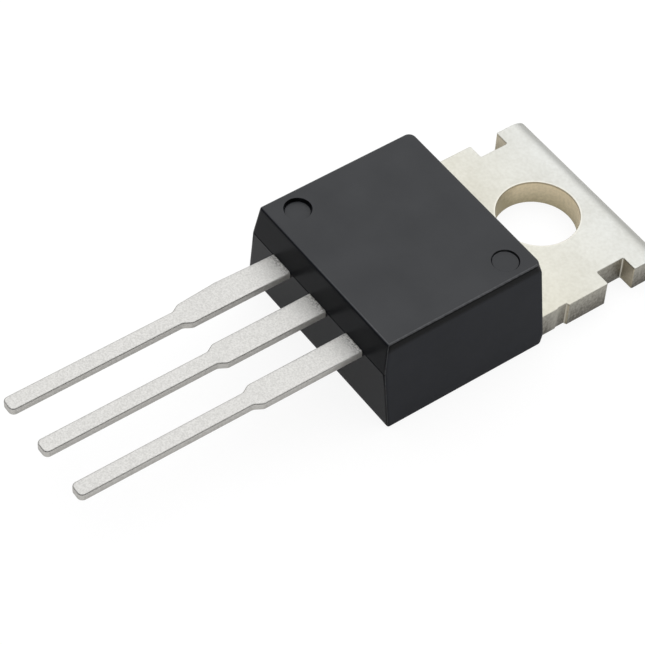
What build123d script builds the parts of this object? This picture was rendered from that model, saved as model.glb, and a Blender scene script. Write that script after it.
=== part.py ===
"""Voltage regulator in a three-lead power package with a metal mounting tab.

A moulded case holds a stamped copper frame, whose tab carries the mounting hole and whose
middle lead is one piece with it, and two separate outer leads. The silicon die is soldered
on the frame's pad inside the case, and bond wires join it to the leads and to the pad.

Frame: +Z up from the tab's back face, +Y from the leads towards the tab's end, origin at the
centre of the mounting hole on the back face. All sizes are in millimetres.
"""

import os
from math import radians, tan

from build123d import *

# --- Tab and the pad under the die ---------------------------------------------------------
tab_thickness = 1.30
tab_width = 9.65
tab_length = 6.59  # from the case to the tab's end
tab_corner_radius = 0.12
tab_end_roll_length = 0.70  # the upper face curves down across the tab's end
tab_end_roll_drop = 0.25
hole_diameter = 3.72
hole_to_end = 3.01
hole_rim_radius = 0.03  # upper rim; the back face's rim is crisp, so the tab sits flat
notch_to_case = 3.58
notch_width = 1.48
notch_depth = 0.78
notch_corner_radius = 0.07
neck_inset = 0.10  # each side, where the tab narrows towards the case
neck_embed = 0.90  # how far the neck reaches into the case
relief_to_case = 0.87  # scar where the strip's tie bar was sheared off
relief_length = 0.60
relief_slope = 0.12
relief_depth = 0.09  # below the neck's side
pad_inset = 0.725  # each side, from the neck's side to the pad's
pad_setback = 2.30  # from the case's lead side to the pad
pad_corner_radius = 0.30
rebate_width = 0.35  # rebate under the pad's rim, where the moulding grips it
rebate_height = 0.45
groove_embed = 0.35  # moisture groove across the neck, inside the case
groove_width = 0.30
groove_depth = 0.20

# --- Leads -----------------------------------------------------------------------------------
lead_pitch = 2.54
lead_thickness = 0.36
lead_top = 3.15  # height of the leads' upper face
lead_length = 13.40
lead_width = 0.76
lead_wide_width = 1.20
lead_wide_length = 4.85
lead_shoulder_length = 0.38
lead_shoulder_radius = 0.30
lead_tip_radius = 0.20
lead_edge_radius = 0.06
post_width = 2.30  # bond post of an outer lead, inside the case
post_length = 1.50
post_embed = 1.00  # from the case's lead side to the post
post_corner_radius = 0.20
bend_embed = 0.75  # from the case's lead side to the middle lead's bend
bend_run = 1.05
bend_radius = 0.45
strip_overlap = 0.40  # how far the middle lead's thin strip runs on into the pad

# --- Moulded case ----------------------------------------------------------------------------
case_length = 8.35
case_height = 4.75
case_side_cover = 0.235  # moulding outside each side of the tab, at the back face
case_side_draft = 0.55  # how far each side leans in, from bottom to top
case_front_draft = 0.21  # lead side, from the parting line to the top
case_front_undercut = 0.11  # lead side, from the parting line to the bottom
case_rear_draft = 0.24  # tab side, from bottom to top
case_back_recess = 0.05  # the tab's back stands this far out of the moulding
case_front_corner_radius = 0.14
case_rear_corner_radius = 0.18
case_top_radius = 0.11
case_bottom_radius = 0.05
ejector_diameter = 1.18
ejector_side_inset = 0.965  # from the top's side edge to the mark's centre
front_ejector_inset = 1.265  # from the top's lead-side edge
front_ejector_depth = 0.18
rear_ejector_inset = 1.17  # from the top's tab-side edge
rear_ejector_depth = 0.09

# --- Die and what joins it -------------------------------------------------------------------
die_width = 2.10
die_length = 1.80
die_thickness = 0.32
die_setback = 2.10  # from the pad's lead-side end to the die
solder_thickness = 0.06
solder_margin = 0.12
solder_corner_radius = 0.15
wire_diameter = 0.25
wire_foot_length = 0.70
wire_foot_width = 0.38
wire_foot_thickness = 0.15
wire_loop_rise = 0.55  # top of the loop above the higher foot
wire_bend_radius = 0.40
wire_rise_angle = 68
bond_inset = 0.50  # from the die's edges to a bond
ground_bond_reach = 1.50  # from the die's tab-side edge to the wire's foot on the pad

# --- Places that follow from the sizes -------------------------------------------------------
neck_width = tab_width - 2 * neck_inset
pad_width = neck_width - 2 * pad_inset
case_width = tab_width + 2 * case_side_cover
tab_end_y = hole_to_end
case_rear_y = tab_end_y - tab_length
case_front_y = case_rear_y - case_length
lead_tip_y = case_front_y - lead_length
lead_wide_y = case_front_y - lead_wide_length
lead_narrow_y = lead_wide_y - lead_shoulder_length
lead_bottom = lead_top - lead_thickness
post_y = case_front_y + post_embed
neck_inner_y = case_rear_y - neck_embed
pad_front_y = case_front_y + pad_setback
strip_end_y = pad_front_y + strip_overlap
notch_y = case_rear_y + notch_to_case
relief_y = case_rear_y + relief_to_case
die_y = pad_front_y + die_setback + die_length / 2
die_bottom = tab_thickness + solder_thickness
die_top = die_bottom + die_thickness
case_top_half_width = case_width / 2 - case_side_draft
beyond = 2 * (tab_length + case_length + lead_length)  # longer than anything it cuts


def at_y(vertices, *places):
    """The vertices that lie at one of these places along Y."""
    return vertices.filter_by(lambda v: any(abs(v.Y - place) < 1e-4 for place in places))


def blade_outline(reach_y):
    """Half the outline of a lead about its centre line, from its tip to reach_y."""
    return [
        (0, lead_tip_y),
        (lead_width / 2, lead_tip_y),
        (lead_width / 2, lead_narrow_y),
        (lead_wide_width / 2, lead_wide_y),
        (lead_wide_width / 2, reach_y),
    ]


def plate_outline():
    """Half the outline of the thick plate: tab, neck and pad."""
    half, neck_half, pad_half = tab_width / 2, neck_width / 2, pad_width / 2
    scar_half = neck_half - relief_depth
    return [
        (0, tab_end_y),
        (half, tab_end_y),
        (half, notch_y + notch_width),
        (half - notch_depth, notch_y + notch_width),
        (half - notch_depth, notch_y),
        (half, notch_y),
        (half, relief_y + relief_length),
        (scar_half, relief_y + relief_length - relief_slope),
        (scar_half, relief_y + relief_slope),
        (neck_half, relief_y),
        (neck_half, neck_inner_y),
        (pad_half, neck_inner_y),
        (pad_half, pad_front_y),
        (0, pad_front_y),
    ]


# --- Middle lead: a thin strip, bent down inside the case to the pad's level -----------------
strip_z = lead_top - lead_thickness / 2
pad_strip_z = tab_thickness - lead_thickness / 2
bend_y = case_front_y + bend_embed
with BuildPart() as middle_lead:
    with BuildSketch(Plane.YZ):
        with BuildLine():
            FilletPolyline(
                (lead_tip_y - lead_thickness, strip_z),
                (bend_y, strip_z),
                (bend_y + bend_run, pad_strip_z),
                (strip_end_y, pad_strip_z),
                radius=bend_radius,
            )
        trace(line_width=lead_thickness)
    extrude(amount=lead_wide_width, both=True)
    with BuildSketch(Plane.XY) as middle_blade:
        with BuildLine():
            Polyline(*blade_outline(strip_end_y), (0, strip_end_y))
            mirror(about=Plane.YZ)
        make_face()
        fillet(at_y(middle_blade.vertices(), lead_tip_y), radius=lead_tip_radius)
        shoulders = at_y(middle_blade.vertices(), lead_wide_y, lead_narrow_y)
        fillet(shoulders, radius=lead_shoulder_radius)
    extrude(amount=beyond, mode=Mode.INTERSECT)
    upper_face = middle_lead.faces().filter_by(Axis.Z).sort_by(Axis.Z)[-1]
    lower_face = middle_lead.faces().filter_by(Axis.Z).filter_by(
        lambda f: abs(f.center().Z - lead_bottom) < 1e-4
    )[0]
    bend_rims = upper_face.edges() + lower_face.edges()
    fillet(bend_rims.filter_by(lambda e: e.center().Y < bend_y - bend_radius), radius=lead_edge_radius)

# --- Tab frame: the thick plate, with the middle lead in one piece with it -------------------
with BuildPart() as tab_frame:
    with BuildSketch(Plane.XY) as plate:
        with BuildLine():
            Polyline(*plate_outline())
            mirror(about=Plane.YZ)
        make_face()
        fillet(at_y(plate.vertices(), tab_end_y), radius=tab_corner_radius)
        fillet(at_y(plate.vertices(), notch_y, notch_y + notch_width), radius=notch_corner_radius)
        fillet(at_y(plate.vertices(), pad_front_y), radius=pad_corner_radius)
        Circle(hole_diameter / 2, mode=Mode.SUBTRACT)
    extrude(amount=tab_thickness)
    with BuildSketch(Plane.YZ):
        with BuildLine():
            roll = TangentArc(
                (tab_end_y - tab_end_roll_length, tab_thickness),
                (tab_end_y, tab_thickness - tab_end_roll_drop),
                tangent=(1, 0),
            )
            Polyline(
                roll @ 1,
                (tab_end_y + tab_thickness, tab_thickness - tab_end_roll_drop),
                (tab_end_y + tab_thickness, 2 * tab_thickness),
                (tab_end_y - tab_end_roll_length, 2 * tab_thickness),
                roll @ 0,
            )
        make_face()
    extrude(amount=tab_width, both=True, mode=Mode.SUBTRACT)
    hole_rims = tab_frame.edges().filter_by(GeomType.CIRCLE).filter_by(
        lambda e: abs(e.radius - hole_diameter / 2) < 1e-6
    )
    fillet(hole_rims.sort_by(Axis.Z)[-1], radius=hole_rim_radius)
    # The rebate that the moulding grips runs round the pad's underside, up to the neck.
    with BuildSketch(Plane.XY):
        with BuildLine():
            Polyline(
                (-pad_width, neck_inner_y),
                (-pad_width, pad_front_y - rebate_width),
                (pad_width, pad_front_y - rebate_width),
                (pad_width, neck_inner_y),
                (pad_width / 2 - rebate_width, neck_inner_y),
                (pad_width / 2 - rebate_width, pad_front_y + rebate_width),
                (-pad_width / 2 + rebate_width, pad_front_y + rebate_width),
                (-pad_width / 2 + rebate_width, neck_inner_y),
                close=True,
            )
        make_face()
    extrude(amount=rebate_height, mode=Mode.SUBTRACT)
    with BuildSketch(Plane.YZ):
        with Locations((case_rear_y - groove_embed, tab_thickness)):
            Rectangle(groove_width, 2 * groove_depth)
    extrude(amount=tab_width, both=True, mode=Mode.SUBTRACT)
    add(middle_lead.part)
tab_frame.part.label = "tab_frame"


def outer_lead(x):
    """An outer lead on the centre line at x, with its bond post inside the case."""
    with BuildPart() as lead:
        with BuildSketch(Plane((x, 0, lead_bottom))) as blade:
            with BuildLine():
                Polyline(
                    *blade_outline(post_y),
                    (post_width / 2, post_y),
                    (post_width / 2, post_y + post_length),
                    (0, post_y + post_length),
                )
                mirror(about=Plane.YZ)
            make_face()
            corners = blade.vertices()
            fillet(at_y(corners, lead_tip_y), radius=lead_tip_radius)
            fillet(at_y(corners, lead_wide_y, lead_narrow_y), radius=lead_shoulder_radius)
            post_corners = at_y(corners, post_y, post_y + post_length)
            fillet(post_corners.filter_by(lambda v: abs(v.X) > lead_wide_width), radius=post_corner_radius)
        extrude(amount=lead_thickness)
        rims = lead.edges().group_by(Axis.Z)
        fillet(rims[0] + rims[-1], radius=lead_edge_radius)
    return lead


input_lead = outer_lead(-lead_pitch)
input_lead.part.label = "input_lead"
output_lead = outer_lead(lead_pitch)
output_lead.part.label = "output_lead"

# --- Die and the solder under it --------------------------------------------------------------
with BuildPart() as die_solder:
    with BuildSketch(Plane((0, die_y, tab_thickness))):
        RectangleRounded(die_width + 2 * solder_margin, die_length + 2 * solder_margin, solder_corner_radius)
    extrude(amount=solder_thickness)
die_solder.part.label = "die_solder"

with BuildPart() as silicon_die:
    with BuildSketch(Plane((0, die_y, die_bottom))):
        Rectangle(die_width, die_length)
    extrude(amount=die_thickness)
silicon_die.part.label = "silicon_die"


def bond_wire(start, end):
    """A wire loop between two bonds, each a flattened foot that lies face down on its seat."""
    start, end = Vector(start), Vector(end)
    along = Vector(end.X - start.X, end.Y - start.Y, 0)
    span = along.length
    # The loop stands in its own upright plane: x along the wire, y up.
    loop_plane = Plane(origin=(start.X, start.Y, 0), x_dir=along, z_dir=along.cross(Vector(0, 0, 1)))
    core = wire_foot_thickness / 2
    loop_top = max(start.Z, end.Z) + wire_foot_thickness + wire_loop_rise
    slope = tan(radians(wire_rise_angle))
    with BuildPart() as wire:
        with BuildLine(loop_plane) as route:
            FilletPolyline(
                (0, start.Z + core),
                ((loop_top - start.Z - core) / slope, loop_top),
                (span - (loop_top - end.Z - core) / slope, loop_top),
                (span, end.Z + core),
                radius=wire_bend_radius,
            )
        with BuildSketch(Plane(origin=route.line @ 0, z_dir=route.line % 0)):
            Circle(wire_diameter / 2)
        sweep(path=route.line)
        foot_shift = (wire_foot_length / 2 - wire_diameter) * along.normalized()
        for seat, shift in ((start, -1 * foot_shift), (end, foot_shift)):
            with BuildSketch(Plane(origin=seat + shift, x_dir=along, z_dir=(0, 0, 1))):
                SlotOverall(wire_foot_length, wire_foot_width)
            extrude(amount=wire_foot_thickness)
    return wire


bond_x = die_width / 2 - bond_inset
bond_front_y = die_y - die_length / 2 + bond_inset
bond_rear_y = die_y + die_length / 2 - bond_inset
post_middle_y = post_y + post_length / 2
input_bond_wire = bond_wire(
    start=(-bond_x, bond_front_y, die_top),
    end=(-lead_pitch, post_middle_y, lead_top),
)
input_bond_wire.part.label = "input_bond_wire"
output_bond_wire = bond_wire(
    start=(bond_x, bond_front_y, die_top),
    end=(lead_pitch, post_middle_y, lead_top),
)
output_bond_wire.part.label = "output_bond_wire"
ground_bond_wire = bond_wire(
    start=(0, bond_rear_y, die_top),
    end=(0, die_y + die_length / 2 + ground_bond_reach, tab_thickness),
)
ground_bond_wire.part.label = "ground_bond_wire"

# --- Moulded case, cast round all of the above -----------------------------------------------
with BuildPart() as moulded_case:
    with BuildSketch(Plane.YZ):
        with BuildLine():
            Polyline(
                (case_front_y + case_front_undercut, case_back_recess),
                (case_front_y, lead_top),
                (case_front_y + case_front_draft, case_height),
                (case_rear_y - case_rear_draft, case_height),
                (case_rear_y, case_back_recess),
                close=True,
            )
        make_face()
    extrude(amount=case_width, both=True)
    with BuildSketch(Plane.XZ):
        with BuildLine():
            Polyline(
                (-case_width / 2, case_back_recess),
                (case_width / 2, case_back_recess),
                (case_top_half_width, case_height),
                (-case_top_half_width, case_height),
                close=True,
            )
        make_face()
    extrude(amount=beyond, both=True, mode=Mode.INTERSECT)
    uprights = moulded_case.edges().filter_by(lambda e: e.bounding_box().size.Z > case_back_recess)
    fillet(uprights.group_by(Axis.Y)[-1], radius=case_rear_corner_radius)
    uprights = moulded_case.edges().filter_by(
        lambda e: e.bounding_box().size.Z > case_back_recess and e.center().Y < pad_front_y
    )
    fillet(uprights, radius=case_front_corner_radius)
    fillet(moulded_case.edges().group_by(Axis.Z)[-1], radius=case_top_radius)
    fillet(moulded_case.edges().group_by(Axis.Z)[0], radius=case_bottom_radius)
    ejector_x = case_top_half_width - ejector_side_inset
    front_ejector_y = case_front_y + case_front_draft + front_ejector_inset
    rear_ejector_y = case_rear_y - case_rear_draft - rear_ejector_inset
    for x, y, depth in (
        (-ejector_x, front_ejector_y, front_ejector_depth),
        (ejector_x, rear_ejector_y, rear_ejector_depth),
    ):
        with BuildSketch(Plane((x, y, case_height))):
            Circle(ejector_diameter / 2)
        extrude(amount=-depth, mode=Mode.SUBTRACT)
    for held in (
        tab_frame,
        input_lead,
        output_lead,
        die_solder,
        silicon_die,
        input_bond_wire,
        output_bond_wire,
        ground_bond_wire,
    ):
        add(held.part, mode=Mode.SUBTRACT)
moulded_case.part.label = "moulded_case"

os.makedirs("parts", exist_ok=True)
export_step(moulded_case.part, "parts/moulded_case.step")
export_step(tab_frame.part, "parts/tab_frame.step")
export_step(input_lead.part, "parts/input_lead.step")
export_step(output_lead.part, "parts/output_lead.step")
export_step(silicon_die.part, "parts/silicon_die.step")
export_step(die_solder.part, "parts/die_solder.step")
export_step(input_bond_wire.part, "parts/input_bond_wire.step")
export_step(output_bond_wire.part, "parts/output_bond_wire.step")
export_step(ground_bond_wire.part, "parts/ground_bond_wire.step")
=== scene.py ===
"""A three-lead voltage regulator with a metal tab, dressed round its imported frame.

The outside of the part is made here as fine closed surfaces: the moulded case, the stamped tab frame
with its middle lead, and the two outer leads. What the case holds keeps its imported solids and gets
its materials here. Sizes are in millimetres, and the origin is the mounting hole on the tab's back.
"""

import logging
from dataclasses import dataclass, field
from enum import Enum

import bpy
import numpy as np
from mathutils import Matrix, Vector


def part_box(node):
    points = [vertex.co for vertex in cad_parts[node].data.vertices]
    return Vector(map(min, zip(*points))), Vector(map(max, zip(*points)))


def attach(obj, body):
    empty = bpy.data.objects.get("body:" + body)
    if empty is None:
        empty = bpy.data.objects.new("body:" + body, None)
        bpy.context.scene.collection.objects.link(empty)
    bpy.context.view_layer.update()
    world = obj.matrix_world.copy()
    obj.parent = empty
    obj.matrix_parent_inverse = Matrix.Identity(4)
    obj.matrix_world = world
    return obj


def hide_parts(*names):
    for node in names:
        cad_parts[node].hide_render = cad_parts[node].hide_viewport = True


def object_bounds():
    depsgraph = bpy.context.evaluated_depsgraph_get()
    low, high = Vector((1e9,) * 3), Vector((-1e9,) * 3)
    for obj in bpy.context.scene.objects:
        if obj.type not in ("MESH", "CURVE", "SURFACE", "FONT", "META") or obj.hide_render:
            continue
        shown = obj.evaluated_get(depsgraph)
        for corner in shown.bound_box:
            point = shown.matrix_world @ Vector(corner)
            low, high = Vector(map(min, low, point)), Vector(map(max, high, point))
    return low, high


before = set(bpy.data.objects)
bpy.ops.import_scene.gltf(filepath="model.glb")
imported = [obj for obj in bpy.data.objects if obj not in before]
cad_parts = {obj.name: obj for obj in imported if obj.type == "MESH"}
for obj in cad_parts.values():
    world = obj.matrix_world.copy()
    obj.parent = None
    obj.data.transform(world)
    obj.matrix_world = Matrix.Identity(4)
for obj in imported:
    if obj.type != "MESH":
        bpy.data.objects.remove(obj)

CAD_BOX = [list(corner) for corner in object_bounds()]

Material = bpy.types.Material
Tree = bpy.types.NodeTree
Node = bpy.types.Node
Socket = bpy.types.NodeSocket

MM = 0.001
# Two places closer than this, in millimetres, are one.
TOUCHING = 1e-6
# Grid lines closer than this, in millimetres, are merged.
SAME_LINE = 1e-4
# The least length that anything is divided by.
TINY = 1e-9
# The gap of a close pair of grid lines, in millimetres, which keeps a bend's shading off a flat face.
GUARD = 0.01
# The values between which noise mostly lies, and a closer pair, which gives crisper spots.
NOISE = (0.3, 0.7)
CRISP_NOISE = (0.35, 0.65)
# How many steps an edge has that the punch rolled over.
ROLL_STEPS = 5
# Edges that turn by more than this stay crisp.
CREASE_DEG = 40.0
log = logging.getLogger("voltage_regulator")


class Slot(Enum):
    """The record's material slots."""

    EPOXY = "black_epoxy"
    PLATED_COPPER = "plated_copper"
    SILICON = "silicon"
    SOLDER = "solder"
    BOND_WIRE = "bond_aluminium"


# --------------------------------------------------------------------------------------------
# Surfaces
# --------------------------------------------------------------------------------------------


def extent(node: str) -> tuple[np.ndarray, np.ndarray]:
    """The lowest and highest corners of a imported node, in millimetres."""
    low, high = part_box(node)
    return np.array(low) / MM, np.array(high) / MM


def smooth(share: np.ndarray) -> np.ndarray:
    """A ramp from 0 to 1 that starts and ends level: three squares less two cubes of the share."""
    share = np.clip(share, 0.0, 1.0)
    return share * share * (3.0 - 2.0 * share)


def lines(*stretches: np.ndarray) -> np.ndarray:
    """All the grid lines of several stretches in rising order, with those that coincide merged."""
    found = np.sort(np.concatenate([np.atleast_1d(stretch) for stretch in stretches]))
    return found[np.concatenate([[True], np.diff(found) > SAME_LINE])]


def rim_offsets(radius: float, cells: int) -> np.ndarray:
    """Offsets of grid lines across a round feature, whose points on its rim are evenly spaced.

    A point on the square round the feature, at the tangent of an angle, is drawn in to the circle
    at that same angle.
    """
    return radius * np.tan(np.linspace(-np.pi / 4, np.pi / 4, cells + 1))


def corner_offsets(radius: float, cells: int) -> np.ndarray:
    """Distances from a corner at which its rounding has evenly spaced points."""
    return radius * (1.0 - np.tan(np.linspace(0.0, np.pi / 4, cells + 1)))


def grid(across: np.ndarray, along: np.ndarray) -> tuple[np.ndarray, np.ndarray]:
    """A sheet of quads on the lines of a plan.

    Args:
        across: the places of the lines along X.
        along: the places of the lines along Y.

    Returns:
        The points, as (count, 2), and the quads, which face up.
    """
    x, y = np.meshgrid(across, along, indexing="ij")
    number = np.arange(x.size).reshape(x.shape)
    quads = np.stack([number[:-1, :-1], number[1:, :-1], number[1:, 1:], number[:-1, 1:]], axis=-1)
    return np.stack([x.ravel(), y.ravel()], axis=1), quads.reshape(-1, 4)


def keep_quads(
    points: np.ndarray, quads: np.ndarray, kept: np.ndarray
) -> tuple[np.ndarray, np.ndarray]:
    """The kept quads, with the points that they use renumbered."""
    used, renumbered = np.unique(quads[kept], return_inverse=True)
    return points[used], renumbered.reshape(-1, 4)


def wrap_round(points: np.ndarray, centre: np.ndarray, radius: float, reach: float) -> np.ndarray:
    """Draws the squares round a centre in to circles.

    A point on the square of half side s goes to the circle of radius s, in its own direction, up to
    the radius. From there to the reach, the pull fades out smoothly.

    Args:
        points: the sheet's points, as (count, 2).
        centre: the circles' centre.
        radius: up to where the circles are true.
        reach: where the pull ends.

    Returns:
        The moved points.
    """
    offset = points - centre
    square = np.abs(offset).max(axis=1, keepdims=True)
    distance = np.maximum(np.hypot(offset[:, :1], offset[:, 1:]), TINY)
    pull = 1.0 - smooth((square - radius) / (reach - radius))
    return centre + offset * (1.0 + pull * (square / distance - 1.0))


def round_off(near: np.ndarray, radius: np.ndarray, zone: np.ndarray) -> np.ndarray:
    """Rounds the outer corner of a zone of grid lines.

    Each square ring of the zone becomes a ring whose corner has a radius in proportion: its outer
    part is drawn on to a circle about the point one radius in from both sides.

    Args:
        near: distances from the zone's inner corner towards the two sides, as (count, 2).
        radius: the corner's radius.
        zone: the zone's side.

    Returns:
        The rounded distances.
    """
    ring = near.max(axis=1, keepdims=True)
    turn = radius * ring / zone
    pivot = np.minimum(near, ring - turn)
    out = near - pivot
    length = np.maximum(np.hypot(out[:, :1], out[:, 1:]), TINY)
    return np.where(out.min(axis=1, keepdims=True) > TINY, pivot + out * turn / length, near)


def border_edges(quads: np.ndarray) -> tuple[np.ndarray, np.ndarray]:
    """The edges that only one quad uses, with the metal on their left.

    Args:
        quads: a sheet's quads.

    Returns:
        The edges' first points and their second points.
    """
    start = quads.ravel()
    end = np.roll(quads, -1, axis=1).ravel()
    count = quads.max() + 1
    single = ~np.isin(start * count + end, end * count + start)
    return start[single], end[single]


def border_normals(points: np.ndarray, quads: np.ndarray) -> tuple[np.ndarray, np.ndarray]:
    """The border's points and the way out of each.

    The way out is the sum of the two edges' outward normals, stretched so that a step along it
    carries both edges out by the same distance.

    Args:
        points: the sheet's points, as (count, 2).
        quads: its quads.

    Returns:
        The border points' numbers in rising order, and their ways out, as (count, 2).
    """
    start, end = border_edges(quads)
    edge = points[end] - points[start]
    outward = np.stack([edge[:, 1], -edge[:, 0]], axis=1) / np.hypot(edge[:, :1], edge[:, 1:])
    total = np.zeros_like(points)
    np.add.at(total, start, outward)
    np.add.at(total, end, outward)
    rim = np.unique(start)
    way = total[rim]
    return rim, 2.0 * way / np.maximum((way**2).sum(axis=1, keepdims=True), TINY)


def closed_shell(
    top: np.ndarray, walls: np.ndarray, bottom: np.ndarray, quads: np.ndarray
) -> tuple[np.ndarray, np.ndarray]:
    """Joins a top sheet, the rings of its wall and a bottom sheet into one closed surface.

    Args:
        top: the top sheet's points, as (count, 3).
        walls: rings of border points from top to bottom, as (rings, border, 3).
        bottom: the bottom sheet's points, in the top's order.
        quads: the quads that both sheets share.

    Returns:
        The points and the quads of the shell.
    """
    count = len(top)
    start, end = border_edges(quads)
    rim = np.unique(start)
    place = np.zeros(count, int)
    place[rim] = np.arange(len(rim))
    rings = 2 * count + np.arange(walls.shape[0] * len(rim)).reshape(-1, len(rim))
    rings = np.vstack([rim, rings, count + rim])
    a, b = place[start], place[end]
    sides = np.stack([rings[:-1, a], rings[1:, a], rings[1:, b], rings[:-1, b]], axis=-1)
    faces = np.vstack([quads, quads[:, ::-1] + count, sides.reshape(-1, 4)])
    return np.vstack([top, bottom, walls.reshape(-1, 3)]), faces


def rounded_path(points: np.ndarray, radii: list[float], steps: int) -> np.ndarray:
    """An open run of straight lines with a tangent arc at each inner corner.

    Each arc's points turn evenly about its centre, which lies on the corner's bisector at the
    radius over the cosine of half the turn.

    Args:
        points: the run's ends and corners.
        radii: each corner's radius, in order.
        steps: how many steps an arc has.

    Returns:
        The run's points, as (count, 2).
    """
    points = np.asarray(points, float)
    pieces = [points[:1]]
    for before, corner, after, radius in zip(points, points[1:], points[2:], radii):
        enter = (corner - before) / np.linalg.norm(corner - before)
        leave = (after - corner) / np.linalg.norm(after - corner)
        turn = np.arctan2(enter[0] * leave[1] - enter[1] * leave[0], enter @ leave)
        inward = np.array([-enter[1], enter[0]]) * np.sign(turn)
        first = corner - enter * radius * np.tan(abs(turn) / 2)
        angle = np.linspace(0.0, abs(turn), steps + 1)[:, None]
        pieces.append(first + radius * (np.sin(angle) * enter + (1.0 - np.cos(angle)) * inward))
    return np.vstack([*pieces, points[-1:]])


def rolled_edge(radius: float, steps: int) -> np.ndarray:
    """Steps out and down over a rounded edge, from the flat face to the wall: a quarter circle."""
    angle = np.linspace(0.0, np.pi / 2, steps + 1)
    return np.stack([radius * np.sin(angle), radius * (1.0 - np.cos(angle))], axis=1)


def make_piece(name: str, points: np.ndarray, faces: np.ndarray) -> bpy.types.Object:
    """Puts a surface into the scene as a smooth-shaded piece, in place and in metres.

    Args:
        name: the piece's name.
        points: its points in millimetres.
        faces: its quads.

    Returns:
        The new object, at the origin.
    """
    mesh = bpy.data.meshes.new(name)
    mesh.from_pydata((points * MM).tolist(), [], faces.tolist())
    mesh.polygons.foreach_set("use_smooth", np.ones(len(faces), bool))
    mesh.set_sharp_from_angle(angle=np.radians(CREASE_DEG))
    mesh.update()
    piece = bpy.data.objects.new(name, mesh)
    bpy.context.scene.collection.objects.link(piece)
    log.info("%s: %d faces", name, len(faces))
    return piece


# --------------------------------------------------------------------------------------------
# Finishes
# --------------------------------------------------------------------------------------------


def linear(colour: str) -> tuple[float, float, float, float]:
    """An sRGB hex colour as linear light, with full alpha.

    Args:
        colour: the colour, as a hash and six hex digits.

    Returns:
        Red, green, blue and alpha.
    """
    srgb = np.array([int(colour[i : i + 2], 16) for i in (1, 3, 5)]) / 255.0
    light = np.where(srgb <= 0.04045, srgb / 12.92, ((srgb + 0.055) / 1.055) ** 2.4)
    return (*light.tolist(), 1.0)


def add_node(tree: Tree, kind: str, inputs: dict | None = None, **settings: object) -> Node:
    """Adds a shader node.

    Args:
        tree: the material's or the world's node tree.
        kind: the node's type name.
        inputs: for each input, by name or number, a value or the output socket that feeds it.
        settings: the node's own properties.

    Returns:
        The node.
    """
    node = tree.nodes.new(kind)
    for key, value in settings.items():
        setattr(node, key, value)
    for key, value in (inputs or {}).items():
        if isinstance(value, Socket):
            tree.links.new(value, node.inputs[key])
        else:
            node.inputs[key].default_value = value
    return node


def new_tree(name: str) -> tuple[Material, Tree]:
    """A material with an empty node tree.

    Args:
        name: the material's name.

    Returns:
        The material and its tree.
    """
    material = bpy.data.materials.new(name)
    material.use_nodes = True
    material.node_tree.nodes.clear()
    return material, material.node_tree


def spots(tree: Tree, size_mm: float, detail: float, seed: float) -> Socket:
    """Even noise on the piece's own coordinates.

    Args:
        tree: the material's node tree.
        size_mm: about how wide a spot is.
        detail: how many finer layers lie on the first.
        seed: how far the pattern is moved, in millimetres, so that no two are alike.

    Returns:
        The noise, which mostly lies between 0.3 and 0.7.
    """
    place = add_node(tree, "ShaderNodeTexCoord").outputs["Object"]
    moved = add_node(
        tree, "ShaderNodeVectorMath", {0: place, 1: (seed * MM, seed * MM, seed * MM)}, operation="ADD"
    )
    scale = 0.5 / (size_mm * MM)
    noise = add_node(
        tree, "ShaderNodeTexNoise", {"Vector": moved.outputs[0], "Scale": scale, "Detail": detail}
    )
    return noise.outputs["Fac"]


def ranged(
    tree: Tree,
    value: Socket,
    low: float,
    high: float,
    to: tuple[float, float] = (0.0, 1.0),
) -> Socket:
    """The value carried from its own range to another, and held there.

    Args:
        tree: the node tree.
        value: the number to carry.
        low: where its range begins.
        high: where its range ends.
        to: what those two ends become.

    Returns:
        The carried number.
    """
    node = add_node(
        tree,
        "ShaderNodeMapRange",
        {"Value": value, "From Min": low, "From Max": high, "To Min": to[0], "To Max": to[1]},
    )
    return node.outputs["Result"]


def ranged_mm(
    tree: Tree,
    place: Socket,
    stretch: tuple[float, float],
    to: tuple[float, float] = (0.0, 1.0),
) -> Socket:
    """A ramp along a stretch of one coordinate.

    Args:
        tree: the node tree.
        place: the coordinate.
        stretch: the ramp's two ends, in millimetres.
        to: what those two ends become.

    Returns:
        The ramp's value.
    """
    return ranged(tree, place, stretch[0] * MM, stretch[1] * MM, to)


def mixed(
    tree: Tree,
    share: Socket,
    first: Socket | str,
    second: Socket | str,
    how: str = "MIX",
) -> Socket:
    """Two colours mixed by a share that varies over the surface.

    Args:
        tree: the node tree.
        share: how much of the second colour shows.
        first: an sRGB hex colour, or the socket that gives a colour.
        second: the same for the other.
        how: the way of blending.

    Returns:
        The mixed colour.
    """
    colours = [linear(colour) if isinstance(colour, str) else colour for colour in (first, second)]
    inputs = {0: share, 6: colours[0], 7: colours[1]}
    return add_node(tree, "ShaderNodeMix", inputs, data_type="RGBA", blend_type=how).outputs[2]


def combined(tree: Tree, how: str, first: Socket, second: object) -> Socket:
    """Two numbers put through one arithmetic step."""
    return add_node(tree, "ShaderNodeMath", {0: first, 1: second}, operation=how).outputs[0]


def absolute(tree: Tree, value: Socket) -> Socket:
    """The number without its sign."""
    return combined(tree, "ABSOLUTE", value, 0.0)


def plan_distance(tree: Tree, place: Node, x: float, y: float) -> Socket:
    """The distance from an upright axis.

    Args:
        tree: the node tree.
        place: the node that gives X, Y and Z.
        x: the axis's place along X, in millimetres.
        y: its place along Y.

    Returns:
        The distance, in metres.
    """
    level = add_node(tree, "ShaderNodeCombineXYZ", {0: place.outputs["X"], 1: place.outputs["Y"]})
    ends = {0: level.outputs[0], 1: (x * MM, y * MM, 0.0)}
    return add_node(tree, "ShaderNodeVectorMath", ends, operation="DISTANCE").outputs["Value"]


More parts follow.
